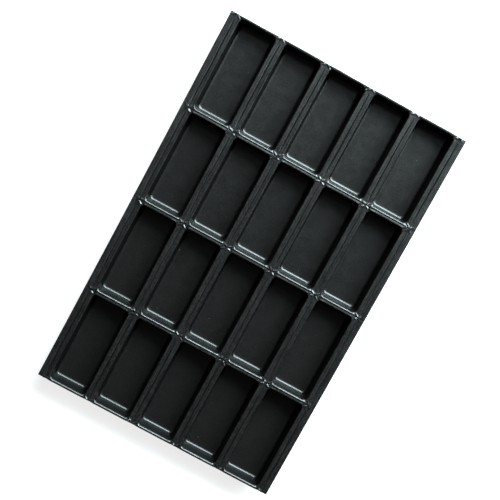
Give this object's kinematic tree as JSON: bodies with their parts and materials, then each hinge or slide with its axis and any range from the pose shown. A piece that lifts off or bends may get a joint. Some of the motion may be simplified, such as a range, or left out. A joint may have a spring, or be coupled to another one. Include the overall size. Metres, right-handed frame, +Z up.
{
  "type": "vacuum-formed compartment tray",
  "caption": "Shallow one-piece black plastic tray with a grid of long rounded pockets between flat lands and raised ridges, for sorting or carrying small parts.",
  "frame": {"origin": "middle of the tray's footprint, on the plane that the pocket bottoms stand on", "axes": "+X across the columns, +Y along the rows and the pockets, +Z up, out of the pockets' mouths"},
  "size_m": [0.25, 0.39, 0.0189],
  "materials": {
    "sheet_plastic": "satin"
  },
  "bodies": {
    "root": {"tray": "sheet_plastic"}
  },
  "joints": []
}
